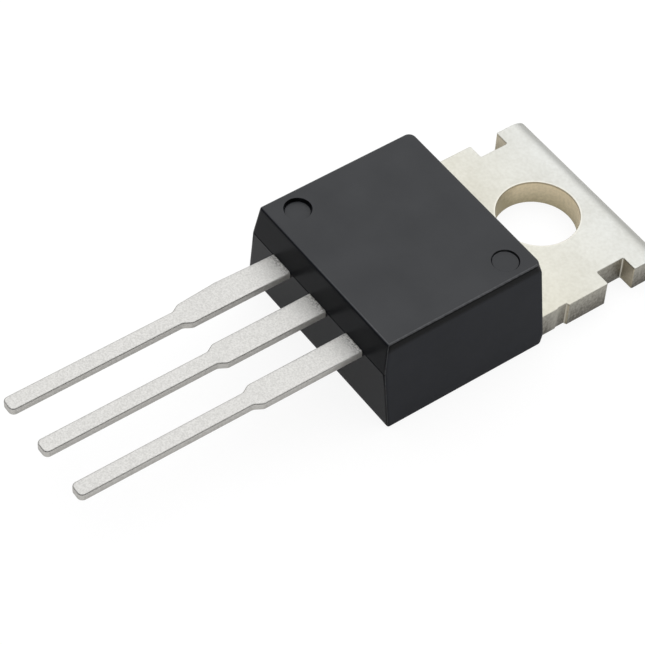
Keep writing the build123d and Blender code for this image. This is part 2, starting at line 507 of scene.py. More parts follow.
def between(tree: Tree, value: Socket, knots: tuple[float, float, float, float]) -> Socket:
    """One where the value lies between the middle two knots, fading to nought at the outer two.

    Args:
        tree: the node tree.
        value: the number to test.
        knots: where the ramps begin and end, in rising order.

    Returns:
        The share.
    """
    rise = ranged(tree, value, knots[0], knots[1])
    fall = ranged(tree, value, knots[2], knots[3], (1, 0))
    return combined(tree, "MULTIPLY", rise, fall)


def surfaced(tree: Tree, height: Socket, strength: float, depth_mm: float, inputs: dict) -> None:
    """Ends a material: one surface with a fine relief.

    Args:
        tree: the material's node tree.
        height: the relief.
        strength: how strongly it shows.
        depth_mm: how deep it is.
        inputs: the surface's other inputs, by name.
    """
    relief = {"Height": height, "Strength": strength, "Distance": depth_mm * MM}
    bump = add_node(tree, "ShaderNodeBump", relief)
    surface = add_node(tree, "ShaderNodeBsdfPrincipled", {**inputs, "Normal": bump.outputs[0]})
    add_node(tree, "ShaderNodeOutputMaterial", {"Surface": surface.outputs[0]})


@dataclass(frozen=True)
class EjectorMark:
    """A round mark that an ejector pin left on the case's top, in millimetres."""

    x: float
    y: float
    radius: float
    depth: float


@dataclass(frozen=True)
class MouldedEpoxy:
    """Silica-filled black epoxy, transfer moulded in a steel mould.

    The mould's level faces are spark eroded and its walls are polished, so the eye sees a matte
    charcoal grey on top, with a faint mottle where the filler flowed, and smoother walls that show
    the floor. The walls' colour is the top's painted darker as shade, darkest on the ends, and the
    walls along the sides are painted blackest in a strip under the top edge, a painted dark
    reflection. Painted shade lies in the parting line and in the step round each ejector mark, and
    the edges that face +X and the leads have a fine pale painted highlight.
    """

    name: str = "moulded_black_epoxy"
    level: str = "#3b3c3e"
    level_filler: str = "#3f4042"
    # The walls' colours are the level faces' painted darker as shade, and the end walls' darkest.
    wall: str = "#2c2e33"
    wall_filler: str = "#303237"
    end_wall_shade: str = "#101216"
    # How far a surface must face along Y to begin to be an end wall, and to be one fully.
    wall_turns: tuple[float, float] = (0.5, 0.8)
    # A painted dark reflection: the blackest strip under the top edge of the sides.
    strip: str = "#0a0b0c"
    # The heights at which the painted dark strip begins and is full.
    painted_strip_mm: tuple[float, float] = (4.25, 4.45)
    # Painted shade in the parting line and in the step round each ejector mark.
    crease_shade: str = "#0b0c0d"
    crease_shade_share: float = 0.75
    # Half the width of a line of painted shade, where it is full and where it ends.
    line_mm: tuple[float, float] = (0.006, 0.03)
    # A painted highlight on the edges that face +X and the leads.
    painted_edge_highlight: str = "#6a6b6d"
    # The places along X at which the painted highlight begins to grow and is full.
    edge_highlight_mm: tuple[float, float] = (-3.0, 4.5)
    # The filler's grain is finer than this. It is drawn as coarse as it needs to show.
    grain_mm: float = 0.06
    grain_depth_mm: float = 0.004
    grain_strength: float = 0.15
    mottle_mm: float = 1.3
    roughness: tuple[float, float] = (0.20, 0.26)
    specular: float = 0.085

    def painted_crease_shade(
        self,
        tree: Tree,
        position: Node,
        endways: Socket,
        parting: float,
        marks: list[EjectorMark],
    ) -> Socket:
        """Where painted shade lies: a level line across each end wall, and a ring round each mark.

        Args:
            tree: the material's node tree.
            position: the node that gives X, Y and Z.
            endways: how far the surface faces along Y.
            parting: the parting line's height, in millimetres.
            marks: the ejector marks.

        Returns:
            One in the painted shade and nought elsewhere.
        """
        inner, outer = self.line_mm
        height = position.outputs["Z"]
        knots = tuple((parting + off) * MM for off in (-outer, -inner, inner, outer))
        on_end = ranged(tree, endways, *self.wall_turns)
        crease_shade = combined(tree, "MULTIPLY", between(tree, height, knots), on_end)
        on_top = ranged_mm(tree, height, self.painted_strip_mm)
        for mark in marks:
            away = plan_distance(tree, position, mark.x, mark.y)
            knots = tuple((mark.radius + off) * MM for off in (-outer - inner, -outer, inner, outer))
            ring = combined(tree, "MULTIPLY", between(tree, away, knots), on_top)
            crease_shade = combined(tree, "MAXIMUM", crease_shade, ring)
        return crease_shade

    def painted_edge_highlights(
        self,
        tree: Tree,
        position: Node,
        facing: Node,
        upright: Socket,
        sideways: Socket,
    ) -> Socket:
        """Where the painted highlight lies on the edges.

        A rounded edge is where the surface faces neither straight up nor straight out. Only the
        edges towards +X and the leads get the painted highlight, and most at the +X end.

        Args:
            tree: the material's node tree.
            position: the node that gives X, Y and Z.
            facing: the node that gives the surface's direction.
            upright: how far the surface faces along Z.
            sideways: how far it faces along X.

        Returns:
            One on a highlighted edge and nought elsewhere.
        """
        edge_highlight = between(tree, upright, (0.82, 0.93, 0.97, 0.999))
        edge_highlight = combined(tree, "MAXIMUM", edge_highlight, between(tree, sideways, (0.45, 0.6, 0.75, 0.85)))
        outwards = combined(tree, "SUBTRACT", facing.outputs["X"], facing.outputs["Y"])
        edge_highlight = combined(tree, "MULTIPLY", edge_highlight, ranged(tree, outwards, 0.0, 0.2))
        along = ranged_mm(tree, position.outputs["X"], self.edge_highlight_mm, (0.1, 1))
        return combined(tree, "MULTIPLY", edge_highlight, along)

    def build(self, parting: float, marks: list[EjectorMark]) -> Material:
        """Makes the material.

        Args:
            parting: the parting line's height, in millimetres.
            marks: the ejector marks.

        Returns:
            The material.
        """
        material, tree = new_tree(self.name)
        grain = spots(tree, self.grain_mm, 3.0, 3.0)
        mottle = ranged(tree, spots(tree, self.mottle_mm, 4.0, 11.0), *CRISP_NOISE)
        place = add_node(tree, "ShaderNodeTexCoord")
        facing = add_node(tree, "ShaderNodeSeparateXYZ", {0: place.outputs["Normal"]})
        position = add_node(tree, "ShaderNodeSeparateXYZ", {0: place.outputs["Object"]})
        upright = absolute(tree, facing.outputs["Z"])
        sideways = absolute(tree, facing.outputs["X"])
        endways = absolute(tree, facing.outputs["Y"])
        level = mixed(tree, mottle, self.level, self.level_filler)
        # The walls are painted darker than the level faces as shade, and the end walls darkest.
        wall = mixed(tree, mottle, self.wall, self.wall_filler)
        # A painted dark reflection in a strip under the top edge of the sides.
        strip = ranged_mm(tree, position.outputs["Z"], self.painted_strip_mm)
        strip = combined(tree, "MULTIPLY", strip, ranged(tree, sideways, 0.5, 0.7))
        wall = mixed(tree, strip, wall, self.strip)
        wall = mixed(tree, ranged(tree, endways, *self.wall_turns), wall, self.end_wall_shade)
        colour = mixed(tree, ranged(tree, upright, 0.75, 0.9), wall, level)
        # A painted highlight on the rounded edges that face +X and the leads.
        edge_highlight = self.painted_edge_highlights(tree, position, facing, upright, sideways)
        colour = mixed(tree, combined(tree, "MULTIPLY", edge_highlight, grain), colour, self.painted_edge_highlight)
        # Painted shade along the parting line and round the marks' steps.
        crease_shade = self.painted_crease_shade(tree, position, endways, parting, marks)
        crease_shade = combined(tree, "MULTIPLY", crease_shade, self.crease_shade_share)
        colour = mixed(tree, crease_shade, colour, self.crease_shade)
        surface = {
            "Base Color": colour,
            "Roughness": ranged(tree, grain, *NOISE, self.roughness),
            "Specular IOR Level": self.specular,
        }
        surfaced(tree, grain, self.grain_strength, self.grain_depth_mm, surface)
        return material


@dataclass(frozen=True)
class PlatedCopper:
    """Stamped copper strip, plated with matte metal and then cut.

    The faces carry the plate: pale, with a fine even grain and slow tints. The cut sides are darker
    and duller, streaked down the thickness by the punch, and darkest near the back, partly where the
    metal tore and partly as painted shade. A painted highlight runs up each turn of the cut. Every
    rounded edge has a thin painted line: a painted highlight on the tab, and painted shade on the
    leads.

    Some layers are there only where their size is given. The mould's heat has tinted the plate near
    the case. A bored hole's wall shows the bare tan alloy, with painted shade on the part that faces
    +Y and a dark line under its lip. So, in part, does a wall that faces the leads, where the punch
    scraped the plate off. A painted highlight ring lies round the hole on the face. Near a lead's
    root the metal is made less metallic, so that it renders pale beside the dark case: painted light
    against the case's shade. The last bit before the case has darker specks.
    """

    name: str
    plate: str
    plate_shade: str
    # The share of the plate's shades that is grain. The rest is slow mottle.
    speckle: float
    plate_roughness: tuple[float, float]
    cut: str
    # Darker towards the back: partly where the metal tore, partly painted shade.
    torn_and_shaded: str
    cut_roughness: float
    cut_top_mm: float
    cut_bottom_mm: float
    # A painted highlight running up each turn of the cut.
    corner: str
    # Painted along the rounded edges and a hole's rim: a highlight on the tab, shade on the leads.
    edge: str
    # How far from the middle, along X, the painted highlight at the cut's turns reaches.
    bright_within_mm: float | None = None
    tint: str = "#ffffff"
    # The places along Y at which the tint is full and ends.
    tint_mm: tuple[float, float] | None = None
    bare: str = "#f9eacb"
    # A bored wall darker deeper down: partly where the metal tore, partly painted shade.
    bare_torn_and_shaded: str = "#b8ae90"
    # The hole about the origin within which a wall is bare.
    bore_radius_mm: float | None = None
    # Painted shade on the part of a bored wall that faces +Y.
    side_shade_share: float = 0.95
    scraped_share: float = 0.0
    lip: str = "#7d7350"
    lip_share: float = 0.5
    # How far below the face the lip's line begins, is full, and ends.
    lip_mm: tuple[float, float, float, float] = (-0.11, -0.08, -0.04, -0.02)
    # How far from the hole's wall the painted highlight ring on the face begins, is full, and ends.
    rim_mm: tuple[float, float, float, float] = (-0.12, -0.10, -0.05, 0.0)
    # How strongly the painted lines show: along the edges, round the hole and up the turns.
    painted_line_share: float = 0.6
    # The places along Y at which the root begins to be made less metallic and is so fully: painted
    # light, so that the root renders pale against the case's shade.
    root_lightening_mm: tuple[float, float] | None = None
    root_lightening_metallic: float = 1.0
    specks: str = "#3c3a37"
    specks_share: float = 0.75
    # The places along Y at which the specks begin and are densest.
    specked_mm: tuple[float, float] | None = None
    # Grain and streaks are finer than these. They are drawn as coarse as they need to show.
    grain_mm: float = 0.07
    grain_depth_mm: float = 0.006
    grain_strength: float = 0.3
    streak_mm: float = 0.025
    streak_squeeze: float = 0.08
    blotch_mm: float = 0.07
    mottle_mm: float = 1.1
    seed: float = 0.0

    def streaked(self, tree: Tree, coordinates: Node) -> Socket:
        """The punch's streaks: noise squeezed across the cut and long down the thickness.

        Args:
            tree: the material's node tree.
            coordinates: its texture coordinates.

        Returns:
            The noise.
        """
        squeezed = add_node(
            tree,
            "ShaderNodeMapping",
            {"Vector": coordinates.outputs["Object"], "Scale": (1.0, 1.0, self.streak_squeeze)},
        )
        noise = add_node(
            tree,
            "ShaderNodeTexNoise",
            {"Vector": squeezed.outputs[0], "Scale": 0.5 / (self.streak_mm * MM), "Detail": 2.0},
        )
        return noise.outputs["Fac"]

    def face(self, tree: Tree, place: Node, grain: Socket) -> Socket:
        """The plate's colour on the faces.

        Args:
            tree: the material's node tree.
            place: the node that gives X, Y and Z.
            grain: the plate's fine grain.

        Returns:
            The colour.
        """
        along = place.outputs["Y"]
        mottle = spots(tree, self.mottle_mm, 3.0, self.seed + 7.0)
        shade = ranged(tree, mottle, *CRISP_NOISE, (0, 1.0 - self.speckle))
        shade = combined(tree, "ADD", shade, ranged(tree, grain, *CRISP_NOISE, (0, self.speckle)))
        plate = mixed(tree, shade, self.plate, self.plate_shade)
        if self.tint_mm:
            tinted = ranged_mm(tree, along, self.tint_mm, (1, 0))
            plate = mixed(tree, tinted, plate, self.tint, "MULTIPLY")
        if self.specked_mm:
            share = ranged_mm(tree, along, self.specked_mm, (0, self.specks_share))
            share = combined(tree, "MULTIPLY", ranged(tree, grain, 0.46, 0.62), share)
            plate = mixed(tree, share, plate, self.specks)
        return plate

    def bare_wall(
        self,
        tree: Tree,
        place: Node,
        facing: Node,
        depth: Socket,
        grain: Socket,
    ) -> Socket:
        """The bare alloy's colour on a bored wall: darker deeper down, and painted shade on one side.

        Args:
            tree: the material's node tree.
            place: the node that gives X, Y and Z.
            facing: the node that gives the surface's direction.
            depth: how deep in the thickness the wall is.
            grain: the plate's fine grain.

        Returns:
            The colour.
        """
        # Painted shade on the part of the wall that faces +Y.
        side_shade = ranged(tree, facing.outputs["Y"], -0.2, 0.5, (0, self.side_shade_share))
        dull = combined(tree, "ADD", depth, ranged(tree, grain, *NOISE, (-0.12, 0.12)))
        dull = combined(tree, "ADD", dull, side_shade)
        bare = mixed(tree, dull, self.bare, self.bare_torn_and_shaded)
        knots = tuple((self.cut_top_mm + off) * MM for off in self.lip_mm)
        lip = between(tree, place.outputs["Z"], knots)
        lip = combined(tree, "MULTIPLY", lip, self.lip_share)
        return mixed(tree, lip, bare, self.lip)

    def cut_side(
        self,
        tree: Tree,
        place: Node,
        facing: Node,
        streaks: Socket,
        grain: Socket,
        reach: Socket,
    ) -> Socket:
        """The colour of the cut sides.

        A side is darker towards the back, partly where the metal tore and partly as painted shade, and
        in streaks and blotches. A painted highlight runs up each turn: a turn's rounding faces along X
        and Y at once, so the product of the two finds it.

        Args:
            tree: the material's node tree.
            place: the node that gives X, Y and Z.
            facing: the node that gives the surface's direction.
            streaks: the punch's streaks.
            grain: the plate's fine grain.
            reach: the distance from the hole's axis.

        Returns:
            The colour.
        """
        cut_mm = (self.cut_bottom_mm, self.cut_top_mm)
        # Darker towards the back: partly where the metal tore, partly painted shade.
        depth = ranged_mm(tree, place.outputs["Z"], cut_mm, (0.9, 0.0))
        blotch = spots(tree, self.blotch_mm, 3.0, self.seed + 3.0)
        torn_and_shaded = combined(tree, "ADD", depth, ranged(tree, streaks, *NOISE, (-0.15, 0.15)))
        torn_and_shaded = combined(tree, "ADD", torn_and_shaded, ranged(tree, blotch, *NOISE, (-0.3, 0.3)))
        side = mixed(tree, ranged(tree, torn_and_shaded, 0.0, 1.0), self.cut, self.torn_and_shaded)
        # A painted highlight up each turn of the cut.
        corner_highlight = combined(tree, "MULTIPLY", facing.outputs["X"], facing.outputs["Y"])
        corner_highlight = absolute(tree, corner_highlight)
        corner_highlight = ranged(tree, corner_highlight, 0.15, 0.4, (0, self.painted_line_share))
        if self.bright_within_mm:
            away = absolute(tree, place.outputs["X"])
            fading = (self.bright_within_mm - 0.03, self.bright_within_mm)
            inside = ranged_mm(tree, away, fading, (1, 0))
            corner_highlight = combined(tree, "MULTIPLY", corner_highlight, inside)
        if not self.bore_radius_mm:
            return mixed(tree, corner_highlight, side, self.corner)
        bare = self.bare_wall(tree, place, facing, depth, grain)
        scraped = ranged(tree, facing.outputs["Y"], -0.9, -0.6, (self.scraped_share, 0))
        side = mixed(tree, scraped, side, bare)
        side = mixed(tree, corner_highlight, side, self.corner)
        radius = self.bore_radius_mm * MM
        return mixed(tree, ranged(tree, reach, radius, radius + 0.1 * MM), bare, side)

    def painted_edge_shading(self, tree: Tree, flatness: Socket, reach: Socket) -> Socket:
        """Where the painted edge line lies: every rounded edge, and a ring round a bored hole.

        Args:
            tree: the material's node tree.
            flatness: how far the surface faces along Z.
            reach: the distance from the hole's axis.

        Returns:
            The painted line's share.
        """
        # A painted line on every rounded edge: a highlight on the tab, shade on the leads.
        rolled = between(tree, flatness, (0.3, 0.5, 0.66, 0.74))
        rolled = combined(tree, "MULTIPLY", rolled, self.painted_line_share)
        if not self.bore_radius_mm:
            return rolled
        # A painted highlight ring on the face round the hole.
        knots = tuple((self.bore_radius_mm + off) * MM for off in self.rim_mm)
        on_face = ranged(tree, flatness, 0.5, 0.8, (0, self.painted_line_share))
        rim = combined(tree, "MULTIPLY", between(tree, reach, knots), on_face)
        return combined(tree, "MAXIMUM", rolled, rim)

    def build(self) -> Material:
        """Makes the material.

        Returns:
            The material.
        """
        material, tree = new_tree(self.name)
        coordinates = add_node(tree, "ShaderNodeTexCoord")
        place = add_node(tree, "ShaderNodeSeparateXYZ", {0: coordinates.outputs["Object"]})
        facing = add_node(tree, "ShaderNodeSeparateXYZ", {0: coordinates.outputs["Normal"]})
        reach = plan_distance(tree, place, 0.0, 0.0)
        flatness = absolute(tree, facing.outputs["Z"])
        on_side = ranged(tree, flatness, 0.4, 0.95, (1, 0))
        grain = spots(tree, self.grain_mm, 3.0, self.seed)
        streaks = self.streaked(tree, coordinates)
        side = self.cut_side(tree, place, facing, streaks, grain, reach)
        colour = mixed(tree, on_side, self.face(tree, place, grain), side)
        # Painted highlight and shade along the edges, and a painted highlight ring round the hole.
        line = self.painted_edge_shading(tree, flatness, reach)
        colour = mixed(tree, line, colour, self.edge)
        height = combined(tree, "ADD", grain, combined(tree, "MULTIPLY", streaks, on_side))
        rough = ranged(tree, grain, *NOISE, self.plate_roughness)
        rough = add_node(
            tree, "ShaderNodeMix", {0: on_side, 2: rough, 3: self.cut_roughness}, data_type="FLOAT"
        ).outputs[0]
        metallic = 1.0
        # Painted light: the root is made less metallic, so it renders pale against the case's shade.
        if self.root_lightening_mm:
            metallic = ranged_mm(tree, place.outputs["Y"], self.root_lightening_mm, (1, self.root_lightening_metallic))
        surface = {"Base Color": colour, "Metallic": metallic, "Roughness": rough}
        surfaced(tree, height, self.grain_strength, self.grain_depth_mm, surface)
        return material


# The tab: matte nickel over copper alloy. The eye sees a pale warm grey that is almost white where
# it faces the light, with dull grey-brown cuts and a tan hole.
NICKEL_PLATE = PlatedCopper(
    name="matte_nickel_plate",
    plate="#dedfdb",
    plate_shade="#d2d2cc",
    speckle=0.3,
    plate_roughness=(0.34, 0.44),
    cut="#b4b1a7",
    torn_and_shaded="#6d6961",
    cut_roughness=0.5,
    cut_top_mm=1.30,
    cut_bottom_mm=0.0,
    # Painted highlights: up the cut's turns, along the rounded edges and round the hole.
    corner="#f4f1e6",
    edge="#f4f1e6",
    bright_within_mm=4.76,
    tint="#fefaef",
    tint_mm=(-3.2, 2.2),
    bore_radius_mm=1.95,
    scraped_share=0.45,
)

# The leads: matte tin over the same alloy. The eye sees a neutral light grey with a fine crisp
# grain, and sides only a little darker, because the tin covers the cuts too.
TIN_PLATE = PlatedCopper(
    name="matte_tin_plate",
    plate="#dcdbd8",
    plate_shade="#cac9c6",
    speckle=0.9,
    plate_roughness=(0.36, 0.46),
    cut="#d2d0cc",
    torn_and_shaded="#b9b7b2",
    cut_roughness=0.45,
    cut_top_mm=3.15,
    cut_bottom_mm=2.79,
    # A painted highlight up the cut's turns, and painted shade along the rounded edges.
    corner="#d6d4cf",
    edge="#c2c0bc",
    # Painted light: the root is made less metallic, so it renders pale against the case's shade.
    root_lightening_mm=(-13.7, -12.4),
    root_lightening_metallic=0.3,
    specked_mm=(-12.3, -11.9),
    grain_mm=0.035,
    grain_depth_mm=0.004,
    seed=20.0,
)


@dataclass(frozen=True)
class SmallPartFinish:
    """The finish of a piece that the case hides: its base colour, with fine spots of a second."""

    name: str
    base: str
    spot: str
    spot_mm: float
    metallic: float
    roughness: tuple[float, float]
    grain_strength: float = 0.2
    grain_depth_mm: float = 0.002

    def build(self) -> Material:
        """Makes the material.

        Returns:
            The material.
        """
        material, tree = new_tree(self.name)
        grain = spots(tree, self.spot_mm, 3.0, 5.0)
        share = ranged(tree, grain, *CRISP_NOISE)
        colour = mixed(tree, share, self.base, self.spot)
        surface = {
            "Base Color": colour,
            "Metallic": self.metallic,
            "Roughness": ranged(tree, grain, *NOISE, self.roughness),
        }
        surfaced(tree, grain, self.grain_strength, self.grain_depth_mm, surface)
        return material


def dress(piece: bpy.types.Object, material: Material, slot: Slot, *replaced: str) -> None:
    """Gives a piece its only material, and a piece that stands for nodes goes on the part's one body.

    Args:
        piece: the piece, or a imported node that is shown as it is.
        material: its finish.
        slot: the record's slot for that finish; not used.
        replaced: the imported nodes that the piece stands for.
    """
    piece.data.materials.clear()
    piece.data.materials.append(material)
    if replaced:
        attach(piece, "root")
        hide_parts(*replaced)


# --------------------------------------------------------------------------------------------
# The part
# --------------------------------------------------------------------------------------------


@dataclass
class MouldedCase:
    """The black moulding: drafted sides, a parting line across its lead side, two ejector marks."""

    side_draft: float = 0.55
    front_draft: float = 0.21
    front_undercut: float = 0.11
    rear_draft: float = 0.24
    front_corner_radius: float = 0.10
    # At the foot, at half height and at the top.
    rear_corner_radii: tuple[float, float, float] = (0.30, 0.06, 0.34)
    rear_corner_taper: float = 0.40
    sharpest_radius: float = 0.01
    top_radius: float = 0.11
    bottom_radius: float = 0.05
    corner_zone: float = 0.45
    corner_cells: int = 8
    parting_crease: float = 0.03
    parting_groove: float = 0.025
    ejector_radius: float = 0.59
    ejector_side_inset: float = 0.965
    # Of the mark near the leads, and of the one near the tab.
    ejector_insets: tuple[float, float] = (1.265, 1.17)
    ejector_depths: tuple[float, float] = (0.18, 0.09)
    # A mark's wall ends this far inside the mark's radius, and begins half as far outside it.
    ejector_wall: float = 0.05
    ejector_rings: int = 7
    ejector_cells: int = 14
    # How far from its centre a mark bends the grid's lines.
    ejector_reach: float = 0.68
    # The top's lines between the marks: across the middle, and along from mark to mark.
    middle_half: float = 2.0
    middle_across: int = 6
    clear_of_mark: float = 1.2
    middle_along: int = 5
    top_steps: int = 8
    bottom_steps: int = 4
    # Level rings above and below the parting line, closest where the corners change.
    upper_levels: tuple[float, ...] = (4.5, 4.4, 4.3, 4.24, 3.7)
    lower_levels: tuple[float, ...] = (2.4, 1.6, 0.8, 0.5, 0.4, 0.3, 0.2)
    finish: MouldedEpoxy = field(default_factory=MouldedEpoxy)

    def __post_init__(self) -> None:
        """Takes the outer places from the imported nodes.

        The lowest edge is rounded and the sides lean in above it, so the sides' own lowest place
        lies a little outside the node's box.
        """
        low, high = extent("moulded_case")
        self.floor = low[2]
        self.height = high[2]
        self.front = low[1]
        rounding = self.bottom_radius / (self.height - self.floor)
        self.half_width = high[0] + self.side_draft * rounding
        self.rear = high[1] + self.rear_draft * rounding
        self.parting = extent("input_lead")[1][2]
        # The top face, inside its rounded rim.
        half = self.half_width - self.side_draft - self.top_radius
        self.top_sides = (-half, half)
        self.top_ends = (
            self.front + self.front_draft + self.top_radius,
            self.rear - self.rear_draft - self.top_radius,
        )

    def section(self, labels: np.ndarray, height: float, inset: float) -> np.ndarray:
        """The grid's points on a level cut through the case.

        The sides lean in evenly from the floor to the top, and the lead side leans out to the
        parting line and back in. The inset is what an edge's rounding takes off all round, and
        each corner's radius shrinks by as much. The rear corners are crisp at half height and
        rounder towards their ends. A fine groove runs along the parting line.

        Args:
            labels: the grid's points on the top face, in millimetres.
            height: the level.
            inset: how far the outline is drawn in there.

        Returns:
            The points' places on that level, as (count, 2).
        """
        up = (height - self.floor) / (self.height - self.floor)
        over = max(height - self.parting, 0.0) / (self.height - self.parting)
        under = max(self.parting - height, 0.0) / (self.parting - self.floor)
        half = self.half_width - self.side_draft * up - inset
        groove = self.parting_groove if abs(height - self.parting) < TOUCHING else 0.0
        front = self.front + self.front_draft * over + self.front_undercut * under + inset + groove
        rear = self.rear - self.rear_draft * up - inset
        zone = self.corner_zone - inset
        top_zone = self.corner_zone - self.top_radius
        x = self.spread(labels[:, 0], self.top_sides, top_zone, (-half, half), zone)
        y = self.spread(labels[:, 1], self.top_ends, top_zone, (front, rear), zone)
        # Round the four corners, each from the inner corner of its zone.
        middle = np.array([0.0, (front + rear) / 2])
        reach = np.array([half, (rear - front) / 2])
        offset = np.stack([x, y], axis=1) - middle
        near = np.abs(offset) - (reach - zone)
        low_end = self.floor + self.bottom_radius
        high_end = self.height - self.top_radius
        taper = self.rear_corner_taper
        places = [low_end, low_end + taper, high_end - taper, high_end]
        low_radius, crisp, high_radius = self.rear_corner_radii
        rear_radius = np.interp(height, places, [low_radius, crisp, crisp, high_radius])
        radius = np.where(offset[:, 1:] < 0, self.front_corner_radius, rear_radius)
        radius = np.maximum(radius - inset, self.sharpest_radius)
        in_corner = (near > 0).all(axis=1, keepdims=True)
        rounded = round_off(np.maximum(near, 0.0), radius, zone) + (reach - zone)
        return middle + np.where(in_corner, np.sign(offset) * rounded, offset)

    @staticmethod
    def spread(
        places: np.ndarray,
        ends: tuple[float, float],
        zone: float,
        new_ends: tuple[float, float],
        new_zone: float,
    ) -> np.ndarray:
        """Carries grid lines from one width to another, with a zone at each end of its own width.

        Args:
            places: the lines' places.
            ends: the first and last place of the old width.
            zone: the old end zones' width.
            new_ends: the first and last place of the new width.
            new_zone: the new end zones' width.

        Returns:
            The lines' new places.
        """
        knots = [ends[0], ends[0] + zone, ends[1] - zone, ends[1]]
        new_knots = [new_ends[0], new_ends[0] + new_zone, new_ends[1] - new_zone, new_ends[1]]
        return np.interp(places, knots, new_knots)

    def marks(self) -> list[EjectorMark]:
        """The ejector marks, on a diagonal of the top.

        Returns:
            The mark near the leads and the mark near the tab.
        """
        x = self.half_width - self.side_draft - self.ejector_side_inset
        near_leads = self.front + self.front_draft + self.ejector_insets[0]
        near_tab = self.rear - self.rear_draft - self.ejector_insets[1]
        return [
            EjectorMark(-x, near_leads, self.ejector_radius, self.ejector_depths[0]),
            EjectorMark(x, near_tab, self.ejector_radius, self.ejector_depths[1]),
        ]

    def top_lines(
        self, marks: list[EjectorMark], inner: float, outer: float
    ) -> tuple[np.ndarray, np.ndarray]:
        """The grid lines of the top face.

        They are close in the corners' zones and round the marks, and evenly spaced between.

        Args:
            marks: the ejector marks.
            inner: a mark's radius where its wall meets its floor.
            outer: its radius where its wall meets the top.

        Returns:
            The lines' places along X and along Y.
        """
        rings = np.linspace(inner, outer, self.ejector_rings)
        rings = np.concatenate([[inner - GUARD], rings, [outer + GUARD, self.ejector_reach]])
        block = lines(rim_offsets(inner - GUARD, self.ejector_cells), rings, -rings)
        zone = np.linspace(0.0, self.corner_zone - self.top_radius, self.corner_cells + 1)
        near_leads, near_tab = marks
        low = near_leads.y + self.clear_of_mark
        high = near_tab.y - self.clear_of_mark
        across = lines(
            self.top_sides[0] + zone,
            self.top_sides[1] - zone,
            np.linspace(-self.middle_half, self.middle_half, self.middle_across),
            block + near_leads.x,
            block + near_tab.x,
        )
        along = lines(
            self.top_ends[0] + zone,
            self.top_ends[1] - zone,
            np.linspace(low, high, self.middle_along),
            block + near_leads.y,
            block + near_tab.y,
        )
        return across, along

    def wall_levels(self) -> list[tuple[float, float]]:
        """The rings of the wall, from the top down.

        They go down the rounded rim, the wall above the parting line, the line's groove, the wall
        below it and the rounded foot.

        Returns:
            Each ring's height and inset.
        """
        roll = rolled_edge(self.top_radius, self.top_steps)[1:]
        foot = rolled_edge(self.bottom_radius, self.bottom_steps)[:0:-1]
        crease = self.parting_crease
        straight = [
            *self.upper_levels,
            self.parting + crease,
            self.parting,
            self.parting - crease,
            *self.lower_levels,
        ]
        levels = [(self.height - down, self.top_radius - out) for out, down in roll]
        levels += [(z, 0.0) for z in straight]
        levels += [(self.floor + down, self.bottom_radius - out) for out, down in foot]
        return levels

    def build(self) -> None:
        """Makes the case.

        Two round marks are let into the top: their floor is level, and their wall falls in a smooth
        ramp. Below the top, the border is carried down through the wall's rings to the back.
        """
        marks = self.marks()
        inner = self.ejector_radius - self.ejector_wall
        outer = self.ejector_radius + self.ejector_wall / 2
        labels, quads = grid(*self.top_lines(marks, inner, outer))
        plan = self.section(labels, self.height, self.top_radius)
        level = np.full(len(plan), self.height)
        for mark in marks:
            centre = np.array([mark.x, mark.y])
            square = np.abs(labels - centre).max(axis=1)
            plan = wrap_round(plan, centre, outer + GUARD, self.ejector_reach)
            level -= mark.depth * smooth((outer - square) / (outer - inner))
        top = np.column_stack([plan, level])
        rim = np.unique(border_edges(quads)[0])
        walls = np.array(
            [
                np.column_stack([self.section(labels[rim], z, inset), np.full(len(rim), z)])
                for z, inset in self.wall_levels()
            ]
        )
        base = self.section(labels, self.floor, self.bottom_radius)
        bottom = np.column_stack([base, np.full(len(base), self.floor)])
        case = make_piece("case_moulding", *closed_shell(top, walls, bottom, quads))
        dress(case, self.finish.build(self.parting, marks), Slot.EPOXY, "moulded_case")


@dataclass
class LeadBlade:
    """One lead's flat blade: a narrow part with a rounded tip, short shoulders and a wide part."""

    width: float = 0.76
    wide_width: float = 1.20
    wide_length: float = 4.85
    shoulder_length: float = 0.38
    shoulder_radius: float = 0.30
    tip_radius: float = 0.24
    edge_radius: float = 0.075
    cells_across: int = 6
    # How many steps each corner's arc has.
    arc_steps: int = 6

    def half_outline(
        self, tip: float, front: float, reach: list[tuple[float, float]], radii: list[float]
    ) -> np.ndarray:
        """The right half of the blade's face, drawn in by the edge's rounding.

        Straight runs are joined by tangent arcs. An outer corner's arc shrinks by the rounding, and
        an inner corner's grows by it.

        Args:
            tip: where the lead ends along Y.
            front: where the case begins.
            reach: the outline's points beyond the wide part, as (half width, Y).
            radii: those points' corner radii, one less than the points.

        Returns:
            The outline from the tip's edge inwards, as (half width, Y) rows.
        """
        edge = self.edge_radius
        wide_y = front - self.wide_length
        rise = (self.wide_width - self.width) / 2
        slant = np.hypot(rise, self.shoulder_length)
        # Drawing a slanted edge in moves its two ends along Y by the same small amount.
        shift = edge * (slant - self.shoulder_length) / rise
        run = [
            (0.0, tip + edge),
            (self.width / 2 - edge, tip + edge),
            (self.width / 2 - edge, wide_y - self.shoulder_length + shift),
            (self.wide_width / 2 - edge, wide_y + shift),
            *reach,
        ]
        arcs = [self.tip_radius - edge, self.shoulder_radius + edge, self.shoulder_radius - edge, *radii]
        return rounded_path(np.array(run), arcs, self.arc_steps)[1:]

    def sheet(self, outline: np.ndarray) -> tuple[np.ndarray, np.ndarray]:
        """The blade's face as a sheet about X = 0, whose rows are spread evenly across its width.

        Args:
            outline: the right half's outline, as (half width, Y) rows.

        Returns:
            The points, as (count, 2), and the quads.
        """
        share = np.linspace(-1.0, 1.0, self.cells_across + 1)
        points, quads = grid(share, np.arange(len(outline), dtype=float))
        row = points[:, 1].astype(int)
        return np.stack([points[:, 0] * outline[row, 0], outline[row, 1]], axis=1), quads


